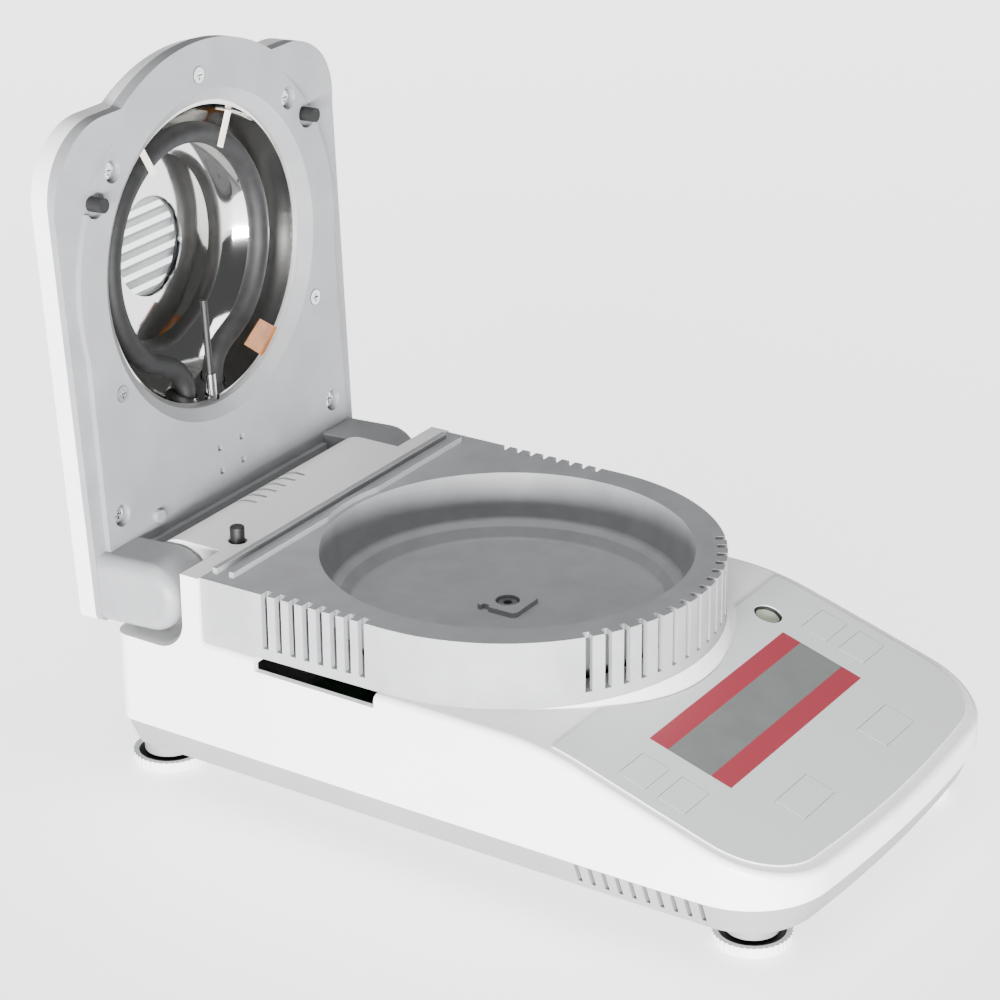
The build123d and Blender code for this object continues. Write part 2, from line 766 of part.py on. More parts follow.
def display_bands():
    """The two coloured bands before and behind the display window."""
    back = (LCD_Y[1], DISPLAY_Y[1])
    front = (DISPLAY_Y[0], LCD_Y[0])
    bands = []
    for stretch in (back, front):
        y = sum(stretch) / 2
        bands.append(on_deck(0, y, 0, DISPLAY_W, deck_length(stretch), 0, OVERLAY_T))
    return together(*bands)


def display_window():
    return on_deck(0, lcd_mid_y, 0, DISPLAY_W, deck_length(LCD_Y), 0, OVERLAY_T)


def display_module():
    """Liquid crystal cell in its frame, under the window."""
    length = deck_length(LCD_Y) - LCD_GLASS_MARGIN
    glass_w = DISPLAY_W - 2 * LCD_GLASS_MARGIN
    glass = on_deck(0, lcd_mid_y, 0, glass_w, length, -LCD_GLASS_GAP - LCD_GLASS_T, -LCD_GLASS_GAP)
    board_w = DISPLAY_W + 2 * LCD_BOARD_MARGIN
    board_top = -HOUSING_WALL - LCD_GLASS_GAP
    board = on_deck(0, lcd_mid_y, 0, board_w, length + LCD_BOARD_EXTRA, -LCD_BOARD_DEPTH, board_top)
    plug_w = DISPLAY_W - 2 * LCD_PLUG_MARGIN
    return glass + board + on_deck(0, lcd_mid_y, 0, plug_w, length - 2, *LCD_PLUG)


def key(x, y, size):
    """A key plate with a flange that keeps it under the deck."""
    width, length = size
    top = OVERLAY_T + KEY_PROUD
    plate = on_deck(x, y, 0, width, length, top - KEY_T, top)
    low = top - KEY_T
    flange_top = -HOUSING_WALL - FLANGE_PLAY
    flange = on_deck(x, y, 0, width + 2 * KEY_FLANGE, length + 2 * KEY_FLANGE, low, flange_top)
    return plate + flange


def key_board():
    """Circuit board under the deck with a tact switch under each key."""
    key_foot = OVERLAY_T + KEY_PROUD - KEY_T
    switch_top = key_foot - KEY_TRAVEL - TACT_GAP
    board_top = switch_top - TACT_RISE
    span = (KEY_FRONT_Y - KEY_BOARD_REACH[0], KEY_ROW_Y[0] + KEY_BOARD_REACH[1])
    middle = sum(span) / 2
    board = on_deck(0, middle, 0, KEY_BOARD_W, deck_length(span), board_top - BOARD_T, board_top)
    board &= Pos(0, 0, 1) * extrude(base_plan(HOUSING_WALL + KEY_BOARD_GAP), STRIP_TOP)
    for _, x, y, _ in key_spots():
        board += on_deck(x, y, 0, TACT_SIZE, TACT_SIZE, board_top - 0.5, switch_top)
    return board


vial_r = LEVEL_R - LEVEL_PLAY - LEVEL_CUP_WALL


def level_cup():
    """Cup that holds the bubble level below the deck."""
    outer = Pos(0, 0, -LEVEL_CUP_DEPTH / 2) * Cylinder(LEVEL_R - LEVEL_PLAY, LEVEL_CUP_DEPTH)
    depth = LEVEL_CUP_FLOOR + 1
    hollow = Pos(0, 0, 1 - depth / 2) * Cylinder(vial_r, depth)
    return deck_plane(LEVEL_X, LEVEL_Y).location * (outer - hollow)


def level_vial():
    """Glass disc of the bubble level, a little below the deck."""
    depth = LEVEL_CUP_FLOOR - LEVEL_VIAL_TOP
    body = Pos(0, 0, -LEVEL_VIAL_TOP - depth / 2) * Cylinder(vial_r, depth)
    return deck_plane(LEVEL_X, LEVEL_Y).location * body


# Weighing cell
cell_front_y = CENTRE_Y - CELL_W / 2
cell_back_y = cell_front_y + CELL_LENGTH


def load_cell():
    """Bar cell, fixed at the back and free under the bowl, with its two eyes."""
    bar = block((-CELL_W / 2, CELL_W / 2), (cell_front_y, cell_back_y), (CELL_TOP - CELL_H, CELL_TOP))
    middle = (cell_front_y + cell_back_y) / 2
    eyes = (middle - CELL_EYE_HALF, middle + CELL_EYE_HALF)
    mid_z = CELL_TOP - CELL_H / 2
    for y in eyes:
        bar -= rod_x((-CELL_W, CELL_W), y, mid_z, CELL_HOLE_R)
    return bar - block((-CELL_W, CELL_W), eyes, (mid_z - CELL_SLOT_HALF, mid_z + CELL_SLOT_HALF))


def cell_mount():
    """Cast foot that carries the fixed end of the cell on the tray."""
    reach = (cell_back_y - MOUNT_REACH[0], cell_back_y + MOUNT_REACH[1])
    foot = block((-MOUNT_HALF, MOUNT_HALF), reach, (tray_floor_z, tray_floor_z + MOUNT_FOOT_T))
    tower_y = (cell_back_y - TOWER_REACH, cell_back_y)
    return foot + block((-TOWER_HALF, TOWER_HALF), tower_y, (tray_floor_z, CELL_TOP - CELL_H))


def pan_spindle():
    """Post from the free end of the cell up into the bowl, bored for a pan."""
    collar = post(0, CENTRE_Y, (CELL_TOP, CELL_TOP + COLLAR_T), CELL_W / 2 - COLLAR_INSET)
    stem = post(0, CENTRE_Y, (CELL_TOP, SPINDLE_TOP), SPINDLE_R)
    bore = post(0, CENTRE_Y, (SPINDLE_TOP - SPINDLE_BORE_DEPTH, SPINDLE_TOP + 1), SPINDLE_BORE_R)
    return collar + stem - bore


# Electrics in the base
board_low_z = tray_floor_z + STANDOFF


def standing_board(x, y, parts):
    """A board on four standoffs, with blocks for the parts that stand on it."""
    board = block(x, y, (board_low_z, board_low_z + BOARD_T))
    for post_x in (x[0] + STANDOFF_INSET, x[1] - STANDOFF_INSET):
        for post_y in (y[0] + STANDOFF_INSET, y[1] - STANDOFF_INSET):
            board += post(post_x, post_y, (tray_floor_z, board_low_z + 0.5), STANDOFF_R)
    for part_x, part_y, rise in parts:
        board += block(part_x, part_y, (board_low_z + 1, board_low_z + 1 + rise))
    return board


def main_board():
    return standing_board(*MAIN_BOARD, (PROCESSOR, MAIN_CONNECTOR))


def power_supply():
    """Supply and heater control board at the back left."""
    return standing_board(*SUPPLY_BOARD, (TRANSFORMER, RELAY))


def mains_inlet():
    """Appliance inlet in the back wall, open towards the plug."""
    inner_y = BACK_Y - HOUSING_WALL
    outer = rear_block(INLET_X, INLET_Z, INLET_BODY, (BACK_Y - INLET_DEPTH, BACK_Y + INLET_PLAY))
    outer += rear_block(INLET_X, INLET_Z, INLET_FLANGE, (inner_y - FLANGE_SHEET, inner_y))
    return outer - rear_block(INLET_X, INLET_Z, INLET_SOCKET, (BACK_Y - SOCKET_DEPTH, BACK_Y + 1))


def inlet_blades():
    blades = []
    size = [2 * half for half in BLADE_HALF]
    for dx, dz in BLADE_SPOTS:
        y = (BACK_Y - SOCKET_DEPTH, BACK_Y - BLADE_TIP_DROP)
        blades.append(rear_block(INLET_X + dx, INLET_Z + dz, size, y))
    return together(*blades)


def fuse_holder():
    """Fuse holder in the back wall, its cap slotted for a coin."""
    cap = rod_y(FUSE_X, (BACK_Y - FUSE_DEPTH, BACK_Y + FUSE_PROUD), INLET_Z, FUSE_R)
    cap += rod_y(FUSE_X, (BACK_Y, BACK_Y + FUSE_CAP_T), INLET_Z, FUSE_CAP_R)
    slot = [2 * half for half in FUSE_SLOT]
    return cap - rear_block(FUSE_X, INLET_Z, slot, (BACK_Y + FUSE_SLOT_FLOOR, BACK_Y + FUSE_PROUD + 1))


def data_port():
    """Nine-pin data socket in the back wall."""
    inner_y = BACK_Y - HOUSING_WALL
    shell = rear_block(PORT_X, PORT_Z, PORT_BODY, (BACK_Y - PORT_DEPTH, BACK_Y + PORT_PROUD))
    shell += rear_block(PORT_X, PORT_Z, PORT_FLANGE, (inner_y - PORT_SHEET, inner_y))
    shell -= rear_block(PORT_X, PORT_Z, PORT_MOUTH, (BACK_Y - PORT_MOUTH_DEPTH, BACK_Y + 3))
    y = [BACK_Y + end for end in CONTACT_Y]
    for row, count in PIN_ROWS:
        for i in range(count):
            x = PORT_X + (i - (count - 1) / 2) * CONTACT_PITCH
            shell += rod_y(x, y, PORT_Z + row, CONTACT_R)
    return shell


# Lid switch
flange_top_z = STRIP_TOP - HOUSING_WALL - PLUNGER_PLAY
spring_top_z = flange_top_z - PLUNGER_FLANGE_T
spring_foot_z = PLUNGER_SEAT_Z + PLUNGER_SEAT_T
plunger_foot_z = PLUNGER_SEAT_Z - PLUNGER_FOOT_DROP


def switch_plunger():
    """Black plunger with a flange that keeps it under the strip."""
    stem = post(PLUNGER_X, PLUNGER_Y, (plunger_foot_z, STRIP_TOP + PLUNGER_RISE), PLUNGER_R)
    stem = fillet(stem.edges().group_by(Axis.Z)[-1], PLUNGER_TIP_R)
    return stem + post(PLUNGER_X, PLUNGER_Y, (spring_top_z, flange_top_z), PLUNGER_FLANGE_R)


def plunger_spring():
    """Coil spring round the plunger, between its flange and the switch bracket."""
    low = spring_foot_z + SPRING_WIRE_R
    height = spring_top_z - SPRING_WIRE_R - low
    coil = Helix(pitch=height / SPRING_TURNS, height=height, radius=SPRING_R)
    wire = sweep(Plane(origin=coil @ 0, z_dir=coil % 0) * Circle(SPRING_WIRE_R), path=coil)
    return Pos(PLUNGER_X, PLUNGER_Y, low) * wire


def lid_switch():
    """Bracket that guides the plunger, with the snap switch under it."""
    width = [PLUNGER_X + end for end in BRACKET_X]
    depth = (COLUMN_FRONT + HOUSING_WALL, PLUNGER_Y + BRACKET_REACH)
    seat = block(width, depth, (PLUNGER_SEAT_Z, spring_foot_z))
    hole_r = PLUNGER_R + PLUNGER_PLAY
    seat -= post(PLUNGER_X, PLUNGER_Y, (PLUNGER_SEAT_Z - 1, spring_foot_z + 1), hole_r)
    button_top = plunger_foot_z - PLUNGER_TRAVEL
    body = [button_top - drop for drop in SNAP_SWITCH_DROP]
    seat += block(width, (depth[0], depth[0] + BRACKET_T), (body[0], PLUNGER_SEAT_Z + 0.1))
    seat += block(width, (depth[0], PLUNGER_Y + SNAP_SWITCH_REACH), body)
    return seat + post(PLUNGER_X, PLUNGER_Y, (button_top - SNAP_BUTTON_T, button_top), SNAP_BUTTON_R)


# Hinge
def hinge_pins():
    """Steel pins pressed in the lid arms and turning in the bushes."""
    end = cover_half - CHEEK - 1
    return pair(rod_x((end, end + PIN_LENGTH), 0, HINGE_Z, PIN_R))


def hinge_bushes():
    """Flanged bushes in the cheeks of the hinge cover."""
    outer = PIN_R + PIN_PLAY + BUSH_WALL
    tube = rod_x((cover_half - CHEEK, cover_half), 0, HINGE_Z, outer)
    tube += rod_x((cover_half, cover_half + BUSH_FLANGE), 0, HINGE_Z, BUSH_FLANGE_R)
    tube -= rod_x((cover_half - CHEEK - 1, cover_half + 2), 0, HINGE_Z, PIN_R + PIN_PLAY)
    return pair(tube)


# Lid, built shut
def lid_body_plan(inset=0.0):
    """The tapered body of the lid without its front arch."""
    rear = LID_REAR_HALF - inset
    ear = LID_EAR_HALF - inset
    ear_y = LID_EAR_Y + inset
    points = [(rear, LID_REAR_Y - inset), (ear, ear_y), (-ear, ear_y), (-rear, LID_REAR_Y - inset)]
    back = max(FRAME_CORNER_R - inset, FRAME_CORNER_MIN_R)
    radii = [back, LID_EAR_R - inset, LID_EAR_R - inset, back]
    return make_face(FilletPolyline(*points, radius=radii, close=True))


def lid_plan(inset=0.0):
    """Outline of the lid: tapered body with round ears and a round front arch."""
    return lid_body_plan(inset) + Pos(0, CENTRE_Y) * Circle(LID_ARCH_R - inset)


def lid_dome(inset=0.0, foot=FRAME_T):
    """Round dome over the heater, standing on the side wall of the shell."""
    top = lid_face_z + SHELL_HEIGHT - inset
    side = lid_face_z + FRAME_T + SHELL_SIDE
    rim = LID_ARCH_R - inset
    crown = rim - DOME_INSET
    points = [
        (0, lid_face_z + foot),
        (rim, lid_face_z + foot),
        (crown, side),
        (DOME_TOP_R - inset * DOME_TAPER, top),
        (0, top),
    ]
    outline = FilletPolyline(*points, radius=[0, 0, DOME_RIM_R, DOME_BLEND_R, 0], close=True)
    return Pos(0, CENTRE_Y, 0) * revolve(Plane.XZ * make_face(outline), Axis.Z)


def lid_form(inset=0.0, foot=FRAME_T):
    """Outer form of the lid shell: side wall, sloping shoulders and dome."""
    side = lid_face_z + FRAME_T + SHELL_SIDE
    rise = SHOULDER_RISE - inset
    wall = Pos(0, 0, lid_face_z + foot) * extrude(lid_body_plan(inset), FRAME_T + SHELL_SIDE - foot)
    low = Pos(0, 0, side) * lid_body_plan(inset)
    high = Pos(0, 0, side + rise) * lid_body_plan(inset + SHOULDER_INSET)
    roof = loft([low, high], ruled=True)
    return wall + roof + lid_dome(inset, foot)


def grille_slots():
    """Slots across the top of the dome, cut to a round field."""
    slots = Part()
    top = lid_face_z + SHELL_HEIGHT
    for i in range(GRILLE_SLOTS):
        offset = (i - (GRILLE_SLOTS - 1) / 2) * GRILLE_PITCH
        half = math.sqrt(GRILLE_R ** 2 - offset ** 2)
        y = CENTRE_Y + offset
        slot = Pos(0, y, top) * extrude(SlotOverall(2 * half, GRILLE_SLOT), 8, both=True)
        slots += slot
    return slots


def lid_shell():
    """White outer cover of the lid with the grille over the window."""
    outer = lid_form()
    shell = outer - lid_form(SHELL_WALL, FRAME_T - 1)
    return shell - grille_slots()


def lid_arm():
    """One hinge arm, on the right, reaching down from the lid to the axis."""
    x = (arm_inner, LID_REAR_HALF)
    arm = rod_x(x, 0, HINGE_Z, ARM_R)
    arm += block(x, (-ARM_R, ARM_R), (HINGE_Z, lid_face_z + BORDER_RISE))
    outer = arm.faces().sort_by(Axis.X)[-1]
    arm = fillet(outer.edges().filter_by(lambda e: e.center().Z < lid_face_z), ARM_OUTER_R)
    inner = arm.faces().sort_by(Axis.X)[0]
    return chamfer(inner.edges().filter_by(lambda e: e.center().Z < lid_face_z), ARM_BEVEL)


def side_recess():
    """What is taken off the frame's ears and sides, running out at the front."""
    low = lid_face_z - 1
    room = Pos(0, 0, low) * extrude(lid_plan(-1), FRAME_T)
    room -= post(0, CENTRE_Y, (low, lid_face_z + FRAME_T), PANEL_R)
    rear = (CENTRE_Y, LID_REAR_Y + 2)
    room -= block((-PANEL_HALF, PANEL_HALF), rear, (low, lid_face_z + FRAME_T))
    points = [
        (rear[1], low),
        (rear[1], lid_face_z + BORDER_RISE),
        (RAMP_Y[1], lid_face_z + BORDER_RISE),
        (RAMP_Y[0], lid_face_z),
        (RAMP_Y[0], low),
    ]
    return room & side_prism(points, [0, 0, RAMP_R, 0, 0], FRONT_WIDTH)


def lid_frame():
    """Grey inner frame of the lid with its hinge arms."""
    frame = Pos(0, 0, lid_face_z) * extrude(lid_plan(), FRAME_T)
    frame -= side_recess()
    pocket = (lid_face_z - 1, lid_face_z + BORDER_RISE)
    frame -= mirrored(post(BUMPER_X, BUMPER_Y, pocket, BUMPER_POCKET_R))
    frame += mirrored(lid_arm())
    lip_half = arm_inner - LIP_END_PLAY
    frame += block((-lip_half, lip_half), LIP_Y, (lid_face_z - LIP_RISE, lid_face_z + 1))
    frame += post(PLUNGER_X, PLUNGER_Y, (lid_face_z - SWITCH_PIN_RISE, lid_face_z + 1), SWITCH_PIN_R)
    throat = LID_HOLE_CHAMFER_T
    cone = Pos(0, CENTRE_Y, lid_face_z + throat / 2) * Cone(LID_HOLE_R, LID_HOLE_THROAT_R, throat)
    frame -= cone
    frame -= post(0, CENTRE_Y, (lid_face_z - 1, lid_face_z + FRAME_T + 1), LID_HOLE_THROAT_R)
    frame -= mirrored(rod_x((arm_inner - 1, cover_half - CHEEK - 1 + PIN_LENGTH), 0, HINGE_Z, PIN_R))
    floor = lid_face_z + FRAME_SCREW_DROP + SCREW_HEAD_T
    for x, y in LID_SCREW_SPOTS:
        frame -= mirrored(post(x, y, (lid_face_z - 1, floor), FRAME_SCREW_POCKET_R))
    floor = lid_face_z + SCREW_HEAD_T - REFLECTOR_SCREW_DROP
    for angle in SCREW_ANGLES:
        spot = reflector_screw_spot(angle)
        frame -= post(*spot, (lid_face_z - 1, floor), SCREW_HEAD_R + SCREW_POCKET_PLAY)
    half = LID_VENT_W / 2
    for x, y in LID_VENT_SPOTS:
        vent = block((x - half, x + half), (y - half, y + half), (lid_face_z - 1, lid_face_z + FRAME_T + 1))
        frame -= mirrored(vent)
    return frame


def reflector_screw_spot(angle):
    """Place of a screw at the reflector's flange, by its angle in plan."""
    turn = math.radians(angle)
    return (REFLECTOR_SCREW_R * math.cos(turn), CENTRE_Y + REFLECTOR_SCREW_R * math.sin(turn))


def dish_wall(offset):
    """Half section of the dish's curved wall, set in by an offset."""
    rim = LID_HOLE_THROAT_R - REFLECTOR_RIM_INSET - offset
    low = lid_face_z + FRAME_T
    top = lid_face_z + REFLECTOR_DEPTH
    return Spline(
        (rim, low),
        (rim - REFLECTOR_WAIST, low + REFLECTOR_WAIST_RISE),
        (REFLECTOR_TOP_R - offset * REFLECTOR_TOP_TAPER, top - offset),
        tangents=((-0.1, 1), (-1, 0.12)),
    )


def reflector():
    """Polished dish: flange behind the frame, curved wall, flat top with its hole."""
    low = lid_face_z + FRAME_T
    top = lid_face_z + REFLECTOR_DEPTH
    skin = REFLECTOR_T
    rim = LID_HOLE_THROAT_R - REFLECTOR_RIM_INSET
    inner = dish_wall(skin)
    outer = dish_wall(0)
    section = make_face([
        outer,
        Line(outer @ 1, (WINDOW_R - 1, top)),
        Line((WINDOW_R - 1, top), (WINDOW_R - 1, top - skin)),
        Line((WINDOW_R - 1, top - skin), inner @ 1),
        inner,
        Line(inner @ 0, outer @ 0),
    ])
    dish = Pos(0, CENTRE_Y, 0) * revolve(Plane.XZ * section, Axis.Z)
    flange = post(0, CENTRE_Y, (low, low + skin), REFLECTOR_FLANGE_R)
    flange -= post(0, CENTRE_Y, (low - 1, low + 3), rim - skin)
    dish += flange
    back = (CENTRE_Y + REFLECTOR_TOP_R + 4, CENTRE_Y + REFLECTOR_FLANGE_R + 10)
    for x in (-HEATER_LEG_X, HEATER_LEG_X):
        dish -= rod_y(x, back, heater_z, HEATER_TUBE_R + HEATER_HOLE_PLAY)
    return dish - rod_y(0, back, sensor_z, SENSOR_R + SENSOR_HOLE_PLAY)


heater_z = lid_face_z + HEATER_DEPTH
sensor_z = lid_face_z + SENSOR_DEPTH


def window_glass():
    top = lid_face_z + REFLECTOR_DEPTH
    return post(0, CENTRE_Y, (top, top + WINDOW_T), WINDOW_R)


def window_ring():
    """Retaining ring over the window glass."""
    top = lid_face_z + REFLECTOR_DEPTH
    ring = post(0, CENTRE_Y, (top, top + WINDOW_T + WINDOW_RING_T), WINDOW_RING_R)
    ring -= post(0, CENTRE_Y, (top - 1, top + WINDOW_T), WINDOW_R + WINDOW_PLAY)
    return ring - post(0, CENTRE_Y, (top - 1, top + 9), WINDOW_R - WINDOW_RING_LAP)


def heater_path():
    """Centre line of the heater: one leg, the loop and the other leg."""
    turn = math.radians(HEATER_ENTRY_ANGLE)
    side = HEATER_R * math.cos(turn)
    rise = CENTRE_Y + HEATER_R * math.sin(turn)
    heading = (math.sin(turn), -math.cos(turn))
    neck = HEATER_NECK_Y
    edges = []
    for sign in (1, -1):
        x = sign * HEATER_LEG_X
        edges.append(Line((x, HEATER_END_Y), (x, neck)))
        ends = ((0, -1), (sign * heading[0], heading[1]))
        edges.append(Spline((x, neck), (sign * side, rise), tangents=ends))
    sweep_angle = -(180 + 2 * HEATER_ENTRY_ANGLE)
    edges.append(CenterArc((0, CENTRE_Y), HEATER_R, HEATER_ENTRY_ANGLE, sweep_angle))
    return Wire([edge for part in edges for edge in part.edges()])


def heater_tube():
    """Sheathed heater bent to a loop with two legs out at the back."""
    path = Pos(0, 0, heater_z) * heater_path()
    start = Plane(origin=path @ 0, z_dir=path % 0)
    return sweep(start * Circle(HEATER_TUBE_R), path=path)


def heater_clips():
    """Two thin straps that hold the loop from the reflector's rim."""
    straps = []
    low = heater_z - HEATER_TUBE_R - CLIP_T
    for angle in CLIP_ANGLES:
        reach = (HEATER_R - HEATER_TUBE_R, LID_HOLE_THROAT_R - CLIP_END_GAP)
        strap = block(reach, (-CLIP_W / 2, CLIP_W / 2), (low, low + CLIP_T))
        straps.append(Pos(0, CENTRE_Y, 0) * Rot(0, 0, angle + 180) * strap)
    return together(*straps)


def heater_terminals():
    """Ceramic block that holds the heater's two ends."""
    y = (HEATER_END_Y, HEATER_END_Y + TERMINAL_LENGTH)
    z = (lid_face_z + FRAME_T, heater_z + HEATER_TUBE_R + TERMINAL_CAP)
    return block((-TERMINAL_HALF, TERMINAL_HALF), y, z)


def temperature_sensor():
    return rod_y(0, (SENSOR_TIP_Y, SENSOR_JOINT_Y), sensor_z, SENSOR_R)


def sensor_bracket():
    """Bright sleeve that carries the temperature sensor."""
    return rod_y(0, (SENSOR_JOINT_Y, HEATER_END_Y), sensor_z, SENSOR_R + SENSOR_SLEEVE_WALL)


def insulation_tape():
    """Strip of amber film under the reflector's rim, by the heater's neck."""
    strip = Pos(0, CENTRE_Y) * make_face(Polyline(*TAPE_CORNERS, close=True))
    strip &= Pos(0, CENTRE_Y) * Circle(LID_HOLE_THROAT_R - TAPE_EDGE_GAP)
    top = lid_face_z + FRAME_T
    return Pos(0, 0, top) * extrude(strip, -TAPE_T)


def screw_head(x, y, z):
    """A pan head with a cross recess, facing down."""
    head = post(x, y, (z, z + SCREW_HEAD_T), SCREW_HEAD_R)
    for half_x, half_y in ((CROSS_HALF, CROSS_SLOT_HALF), (CROSS_SLOT_HALF, CROSS_HALF)):
        slot_x = (x - half_x, x + half_x)
        head -= block(slot_x, (y - half_y, y + half_y), (z - 1, z + CROSS_DEPTH))
    return head


def reflector_screws():
    spots = [reflector_screw_spot(angle) for angle in SCREW_ANGLES]
    return together(*[screw_head(x, y, lid_face_z - REFLECTOR_SCREW_DROP) for x, y in spots])


def frame_screws():
    heads = []
    for x, y in LID_SCREW_SPOTS:
        heads += [screw_head(sign * x, y, lid_face_z + FRAME_SCREW_DROP) for sign in (-1, 1)]
    return together(*heads)


def lid_bumpers():
    low = STRIP_TOP + BUMPER_GAP
    return pair(post(BUMPER_X, BUMPER_Y, (low, lid_face_z + BORDER_RISE), BUMPER_R))


def case_screws():
    """Four screws that hold the tray from below."""
    low = TRAY_BOTTOM - SCREW_HEAD_T
    spots = [(sign * x, y) for x, y in CASE_SCREW_SPOTS for sign in (-1, 1)]
    return together(*[screw_head(x, y, low) for x, y in spots])


# Levelling feet
def foot_rim(x, y):
    """Knurled ring of a levelling foot."""
    z = (FOOT_RIM_Z, FOOT_RIM_Z + FOOT_RIM_H)
    ring = post(x, y, z, FOOT_R) - post(x, y, (z[0] - 1, z[1] + 1), FOOT_R - FOOT_RIM)
    groove = Part()
    for i in range(FOOT_TEETH):
        turn = math.radians(360 * i / FOOT_TEETH)
        spot = (x + FOOT_R * math.cos(turn), y + FOOT_R * math.sin(turn))
        groove += post(*spot, (z[0] - 1, z[1] + 1), FOOT_GROOVE_R)
    return ring - groove


def foot_core(x, y):
    """Black disc and threaded stud of a levelling foot."""
    z = (FOOT_RIM_Z + FOOT_SEAT, FOOT_RIM_Z + FOOT_RIM_H - FOOT_DISC_DROP)
    disc = post(x, y, z, FOOT_R - FOOT_RIM)
    return disc + post(x, y, (z[0], FOOT_STUD_TOP), FOOT_STUD_R)


def foot_pad(x, y):
    return post(x, y, (0, FOOT_RIM_Z + FOOT_SEAT), FOOT_PAD_R)


# Assembly
def opened(shape):
    """Swing a piece of the lid up about the hinge axis."""
    axis = Axis((0, 0, HINGE_Z), (1, 0, 0))
    return shape.rotate(axis, -OPEN_ANGLE)


def base_pieces():
    pieces = {
        "base_tray": base_tray(),
        "upper_housing": upper_housing(),
        "drying_chamber": drying_chamber(),
        "control_overlay": control_overlay(),
        "display_bands": display_bands(),
        "display_window": display_window(),
        "display_module": display_module(),
        "key_board": key_board(),
        "level_cup": level_cup(),
        "level_vial": level_vial(),
        "load_cell": load_cell(),
        "load_cell_mount": cell_mount(),
        "pan_spindle": pan_spindle(),
        "main_board": main_board(),
        "power_supply": power_supply(),
        "mains_inlet": mains_inlet(),
        "inlet_blades": inlet_blades(),
        "fuse_holder": fuse_holder(),
        "data_port": data_port(),
        "lid_switch": lid_switch(),
        "switch_plunger": switch_plunger(),
        "plunger_spring": plunger_spring(),
        "case_screws": case_screws(),
        "hinge_bushes": hinge_bushes(),
    }
    for name, x, y, size in key_spots():
        pieces[name] = key(x, y, size)
    for name, x, y in foot_spots():
        pieces[f"foot_rim_{name}"] = foot_rim(x, y)
        pieces[f"foot_core_{name}"] = foot_core(x, y)
        pieces[f"foot_pad_{name}"] = foot_pad(x, y)
    return pieces


def lid_pieces():
    shut = {
        "lid_shell": lid_shell(),
        "lid_frame": lid_frame(),
        "reflector": reflector(),
        "window_glass": window_glass(),
        "window_ring": window_ring(),
        "heater_tube": heater_tube(),
        "heater_clips": heater_clips(),
        "heater_terminals": heater_terminals(),
        "temperature_sensor": temperature_sensor(),
        "sensor_bracket": sensor_bracket(),
        "insulation_tape": insulation_tape(),
        "reflector_screws": reflector_screws(),
        "frame_screws": frame_screws(),
        "lid_bumpers": lid_bumpers(),
        "hinge_pins": hinge_pins(),
    }
    return {name: opened(shape) for name, shape in shut.items()}


def main():
    pieces = {**base_pieces(), **lid_pieces()}
    boxes = [shape.bounding_box() for shape in pieces.values()]
    middle_y = (min(box.min.Y for box in boxes) + max(box.max.Y for box in boxes)) / 2
    os.makedirs("parts", exist_ok=True)
    for name, shape in pieces.items():
        placed = Pos(0, -middle_y, 0) * shape
        export_step(placed, f"parts/{name}.step")
    print("nodes", len(pieces))
    print("shift_y", round(-middle_y, 4))
    print("hinge", round(-middle_y, 4), HINGE_Z)


main()
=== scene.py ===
import json
import math

import bpy
from mathutils import Matrix, Vector

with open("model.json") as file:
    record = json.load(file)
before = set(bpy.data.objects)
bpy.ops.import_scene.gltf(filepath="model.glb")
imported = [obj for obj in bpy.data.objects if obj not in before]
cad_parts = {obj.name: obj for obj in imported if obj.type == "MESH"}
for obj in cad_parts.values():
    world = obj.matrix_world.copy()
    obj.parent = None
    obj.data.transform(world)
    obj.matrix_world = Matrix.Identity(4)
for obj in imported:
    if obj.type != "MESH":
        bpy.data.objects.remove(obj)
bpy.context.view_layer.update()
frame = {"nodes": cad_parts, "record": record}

MM = 0.001
PER_METRE = 1000

# Camera: the photograph's viewpoint, in the frame's metres
CAMERA_AT = (-0.89153, -0.57324, 0.56967)
CAMERA_AZIMUTH = -57.25
CAMERA_ELEVATION = 23.62
CAMERA_ROLL = -0.51
CAMERA_LENS = 116.32
SENSOR_WIDTH = 36.0
CLIP_NEAR = 0.05
CLIP_FAR = 50.0

# Painted light: the table top glows, weaker under the object and stronger far behind it along the line of
# sight
TABLE_GLOW_NEAR = 2.1
TABLE_GLOW_FAR = 4.6
GLOW_NEAR_AT = -0.2
GLOW_FAR_AT = 2.4
TABLE_HALF = 6.0

# Soft boxes: place and aim in metres, width and height in metres, power in watts
LOW_LEFT_AT = (-1.5, -0.85, 0.13)
LOW_LEFT_AIM = (0, 0, 0.10)
LOW_LEFT_SIZE = (1.5, 0.22)
LOW_LEFT_POWER = 165
OVERHEAD_AT = (-0.1, -0.1, 1.8)
OVERHEAD_AIM = (0, 0, 0)
OVERHEAD_SIZE = (1.4, 1.4)
OVERHEAD_POWER = 26

WORLD_COLOUR = "#F4F6FA"
WORLD_STRENGTH = 0.10

# Where the dark and the light of a mottled colour sit on its noise
MOTTLE_DARK_AT = 0.35
MOTTLE_LIGHT_AT = 0.65
MOTTLE_DETAIL = 4.0
SPREAD_DETAIL = 3.0

nodes = frame["nodes"]
record = frame["record"]
slot_of = {entry["node"]: entry["material_slot"] for entry in record["subparts"]}


def linear(code):
    """An sRGB hex value as the linear colour that Blender mixes."""
    parts = [int(code[i:i + 2], 16) / 255 for i in (1, 3, 5)]
    flat = [p / 12.92 if p <= 0.04045 else ((p + 0.055) / 1.055) ** 2.4 for p in parts]
    return (*flat, 1.0)


def add(material, kind, settings=None, **sockets):
    """Adds a node, sets its properties, and fills or links its sockets by name."""
    made = material.node_tree.nodes.new(kind)
    for name, value in (settings or {}).items():
        setattr(made, name, value)
    for name, value in sockets.items():
        socket = made.inputs[name.replace("_", " ")]
        if isinstance(value, bpy.types.NodeSocket):
            material.node_tree.links.new(value, socket)
        else:
            socket.default_value = value
    return made


